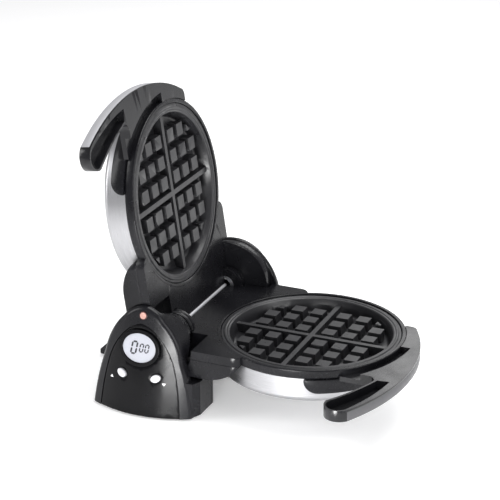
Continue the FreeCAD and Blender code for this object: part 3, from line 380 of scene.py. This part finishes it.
def segment(kind, wide, tall, bar):
    """One bar of a seven-segment digit, as a slanted outline with pointed ends."""
    gap = bar * SEGMENT_GAP
    if kind in ("top", "bottom"):
        y = tall / 2 - bar / 2 if kind == "top" else bar / 2 - tall / 2
        x = wide / 2 - bar / 2 - gap
        points = [(-x, y), (-x + bar / 2, y + bar / 2), (x - bar / 2, y + bar / 2), (x, y),
                  (x - bar / 2, y - bar / 2), (-x + bar / 2, y - bar / 2)]
    else:
        x = (wide - bar) / 2 * (-1 if "left" in kind else 1)
        inner, outer = gap, tall / 2 - bar / 2 - gap
        low, high = (inner, outer) if "high" in kind else (-outer, -inner)
        points = [(x, low), (x + bar / 2, low + bar / 2), (x + bar / 2, high - bar / 2), (x, high),
                  (x - bar / 2, high - bar / 2), (x - bar / 2, low + bar / 2)]
    return [(px + py * SLANT, py) for px, py in points]


# Each digit's centre x and y, width, height and bar width, in mm: a tall one, then two small ones.
DIGITS_MM = ((-6.2, 0, 7.8, 15.6, 2.1), (2.6, 0.6, 5.3, 10.4, 1.5), (9.1, 0.6, 5.3, 10.4, 1.5))


def digits():
    """The outlines of the reading 0 00."""
    shapes = []
    for x, y, wide, tall, bar in DIGITS_MM:
        for kind in SEGMENTS_OF_ZERO:
            outline = segment(kind, wide * MM, tall * MM, bar * MM)
            shapes.append([(px + x * MM, py + y * MM) for px, py in outline])
    return shapes


window_low, window_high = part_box("display_window")
middle = (window_low + window_high) / 2
window = facing(*landing("display_window", middle.x, middle.z), PRINT_LIFT)
flat_piece("display_digits", digits(), window, PRINT_THICK, "ink_dark", "base")

ARROW_HALF = 2.2 * MM
ARROW_FOOT, ARROW_TIP = 0.6, 0.7     # heights of foot and tip, per unit of the half width


def arrow(sign):
    """A triangle pointing up for sign 1 and down for -1, anticlockwise either way."""
    foot, tip = -ARROW_HALF * ARROW_FOOT * sign, ARROW_HALF * ARROW_TIP * sign
    return [(-ARROW_HALF, foot), (ARROW_HALF, foot), (0, tip)][::sign]


# Side, x and z in mm, and whether the mark points up or down.
ARROWS = (("left", -46.5, 38.6, 1), ("right", 17.2, 39.6, -1))
for side, x, z, sign in ARROWS:
    spot = facing(*landing("control_panel", x * MM, z * MM), PRINT_LIFT)
    flat_piece("print_arrow_" + side, [arrow(sign)], spot, PRINT_THICK, "ink_white",
               "base")


# ---------------------------------------------------------------- studio

def area_light(name, spot, target, size, energy):
    """A rectangular light at a spot, turned to its target; energy in watts."""
    data = bpy.data.lights.new(name, "AREA")
    data.shape = "RECTANGLE"
    data.size, data.size_y = size
    data.energy = energy
    lamp = bpy.data.objects.new(name, data)
    bpy.context.scene.collection.objects.link(lamp)
    lamp.location = spot
    lamp.rotation_euler = (Vector(target) - Vector(spot)).to_track_quat("-Z", "Y").to_euler()


# Name, place, target, width and height, and watts.
LIGHTS = (
    ("softbox_right", (1.5, -0.5, 0.9), (0, 0, 0.1), (0.7, 1.2), 11),
    ("softbox_left", (-1.5, -0.9, 0.9), (0, 0, 0.15), (0.7, 1.2), 12),
    ("softbox_top", (0.3, 0.5, 1.7), (0.1, 0, 0), (1.5, 1.0), 24),
    ("card_front", (0.14, -0.62, 0.07), (0.02, -0.12, 0.06), (0.2, 0.14), 3.2),
    ("softbox_back", (0.15, 1.6, 0.95), (0.2, 0, 0.08), (1.0, 0.6), 5.0),
)
for light in LIGHTS:
    area_light(*light)

WORLD_COLOUR = (0.93, 0.93, 0.95, 1)
WORLD_STRENGTH = 0.42
world = bpy.data.worlds.new("studio")
world.use_nodes = True
background = world.node_tree.nodes["Background"]
background.inputs["Color"].default_value = WORLD_COLOUR
background.inputs["Strength"].default_value = WORLD_STRENGTH
bpy.context.scene.world = world

FLOOR_HALF = 6.0
floor_mesh = bpy.data.meshes.new("studio_floor")
corners = [(-FLOOR_HALF, -FLOOR_HALF, 0), (FLOOR_HALF, -FLOOR_HALF, 0),
           (FLOOR_HALF, FLOOR_HALF, 0), (-FLOOR_HALF, FLOOR_HALF, 0)]
floor_mesh.from_pydata(corners, [], [(0, 1, 2, 3)])
floor = bpy.data.objects.new("studio_floor", floor_mesh)
bpy.context.scene.collection.objects.link(floor)
paint(floor, "floor")

SENSOR_MM, LENS_MM = 36.0, 130.67
CAMERA_SPOT = (0.8036, -1.7206, 0.9105)
CAMERA_TILT, CAMERA_PAN = math.radians(68.15), math.radians(23.20)
camera_data = bpy.data.cameras.new("camera")
camera_data.sensor_width = SENSOR_MM
camera_data.lens = LENS_MM
camera = bpy.data.objects.new("camera", camera_data)
camera.location = CAMERA_SPOT
camera.rotation_euler = (CAMERA_TILT, 0, CAMERA_PAN)
bpy.context.scene.collection.objects.link(camera)
bpy.context.scene.camera = camera
bpy.context.scene.view_settings.view_transform = "Standard"
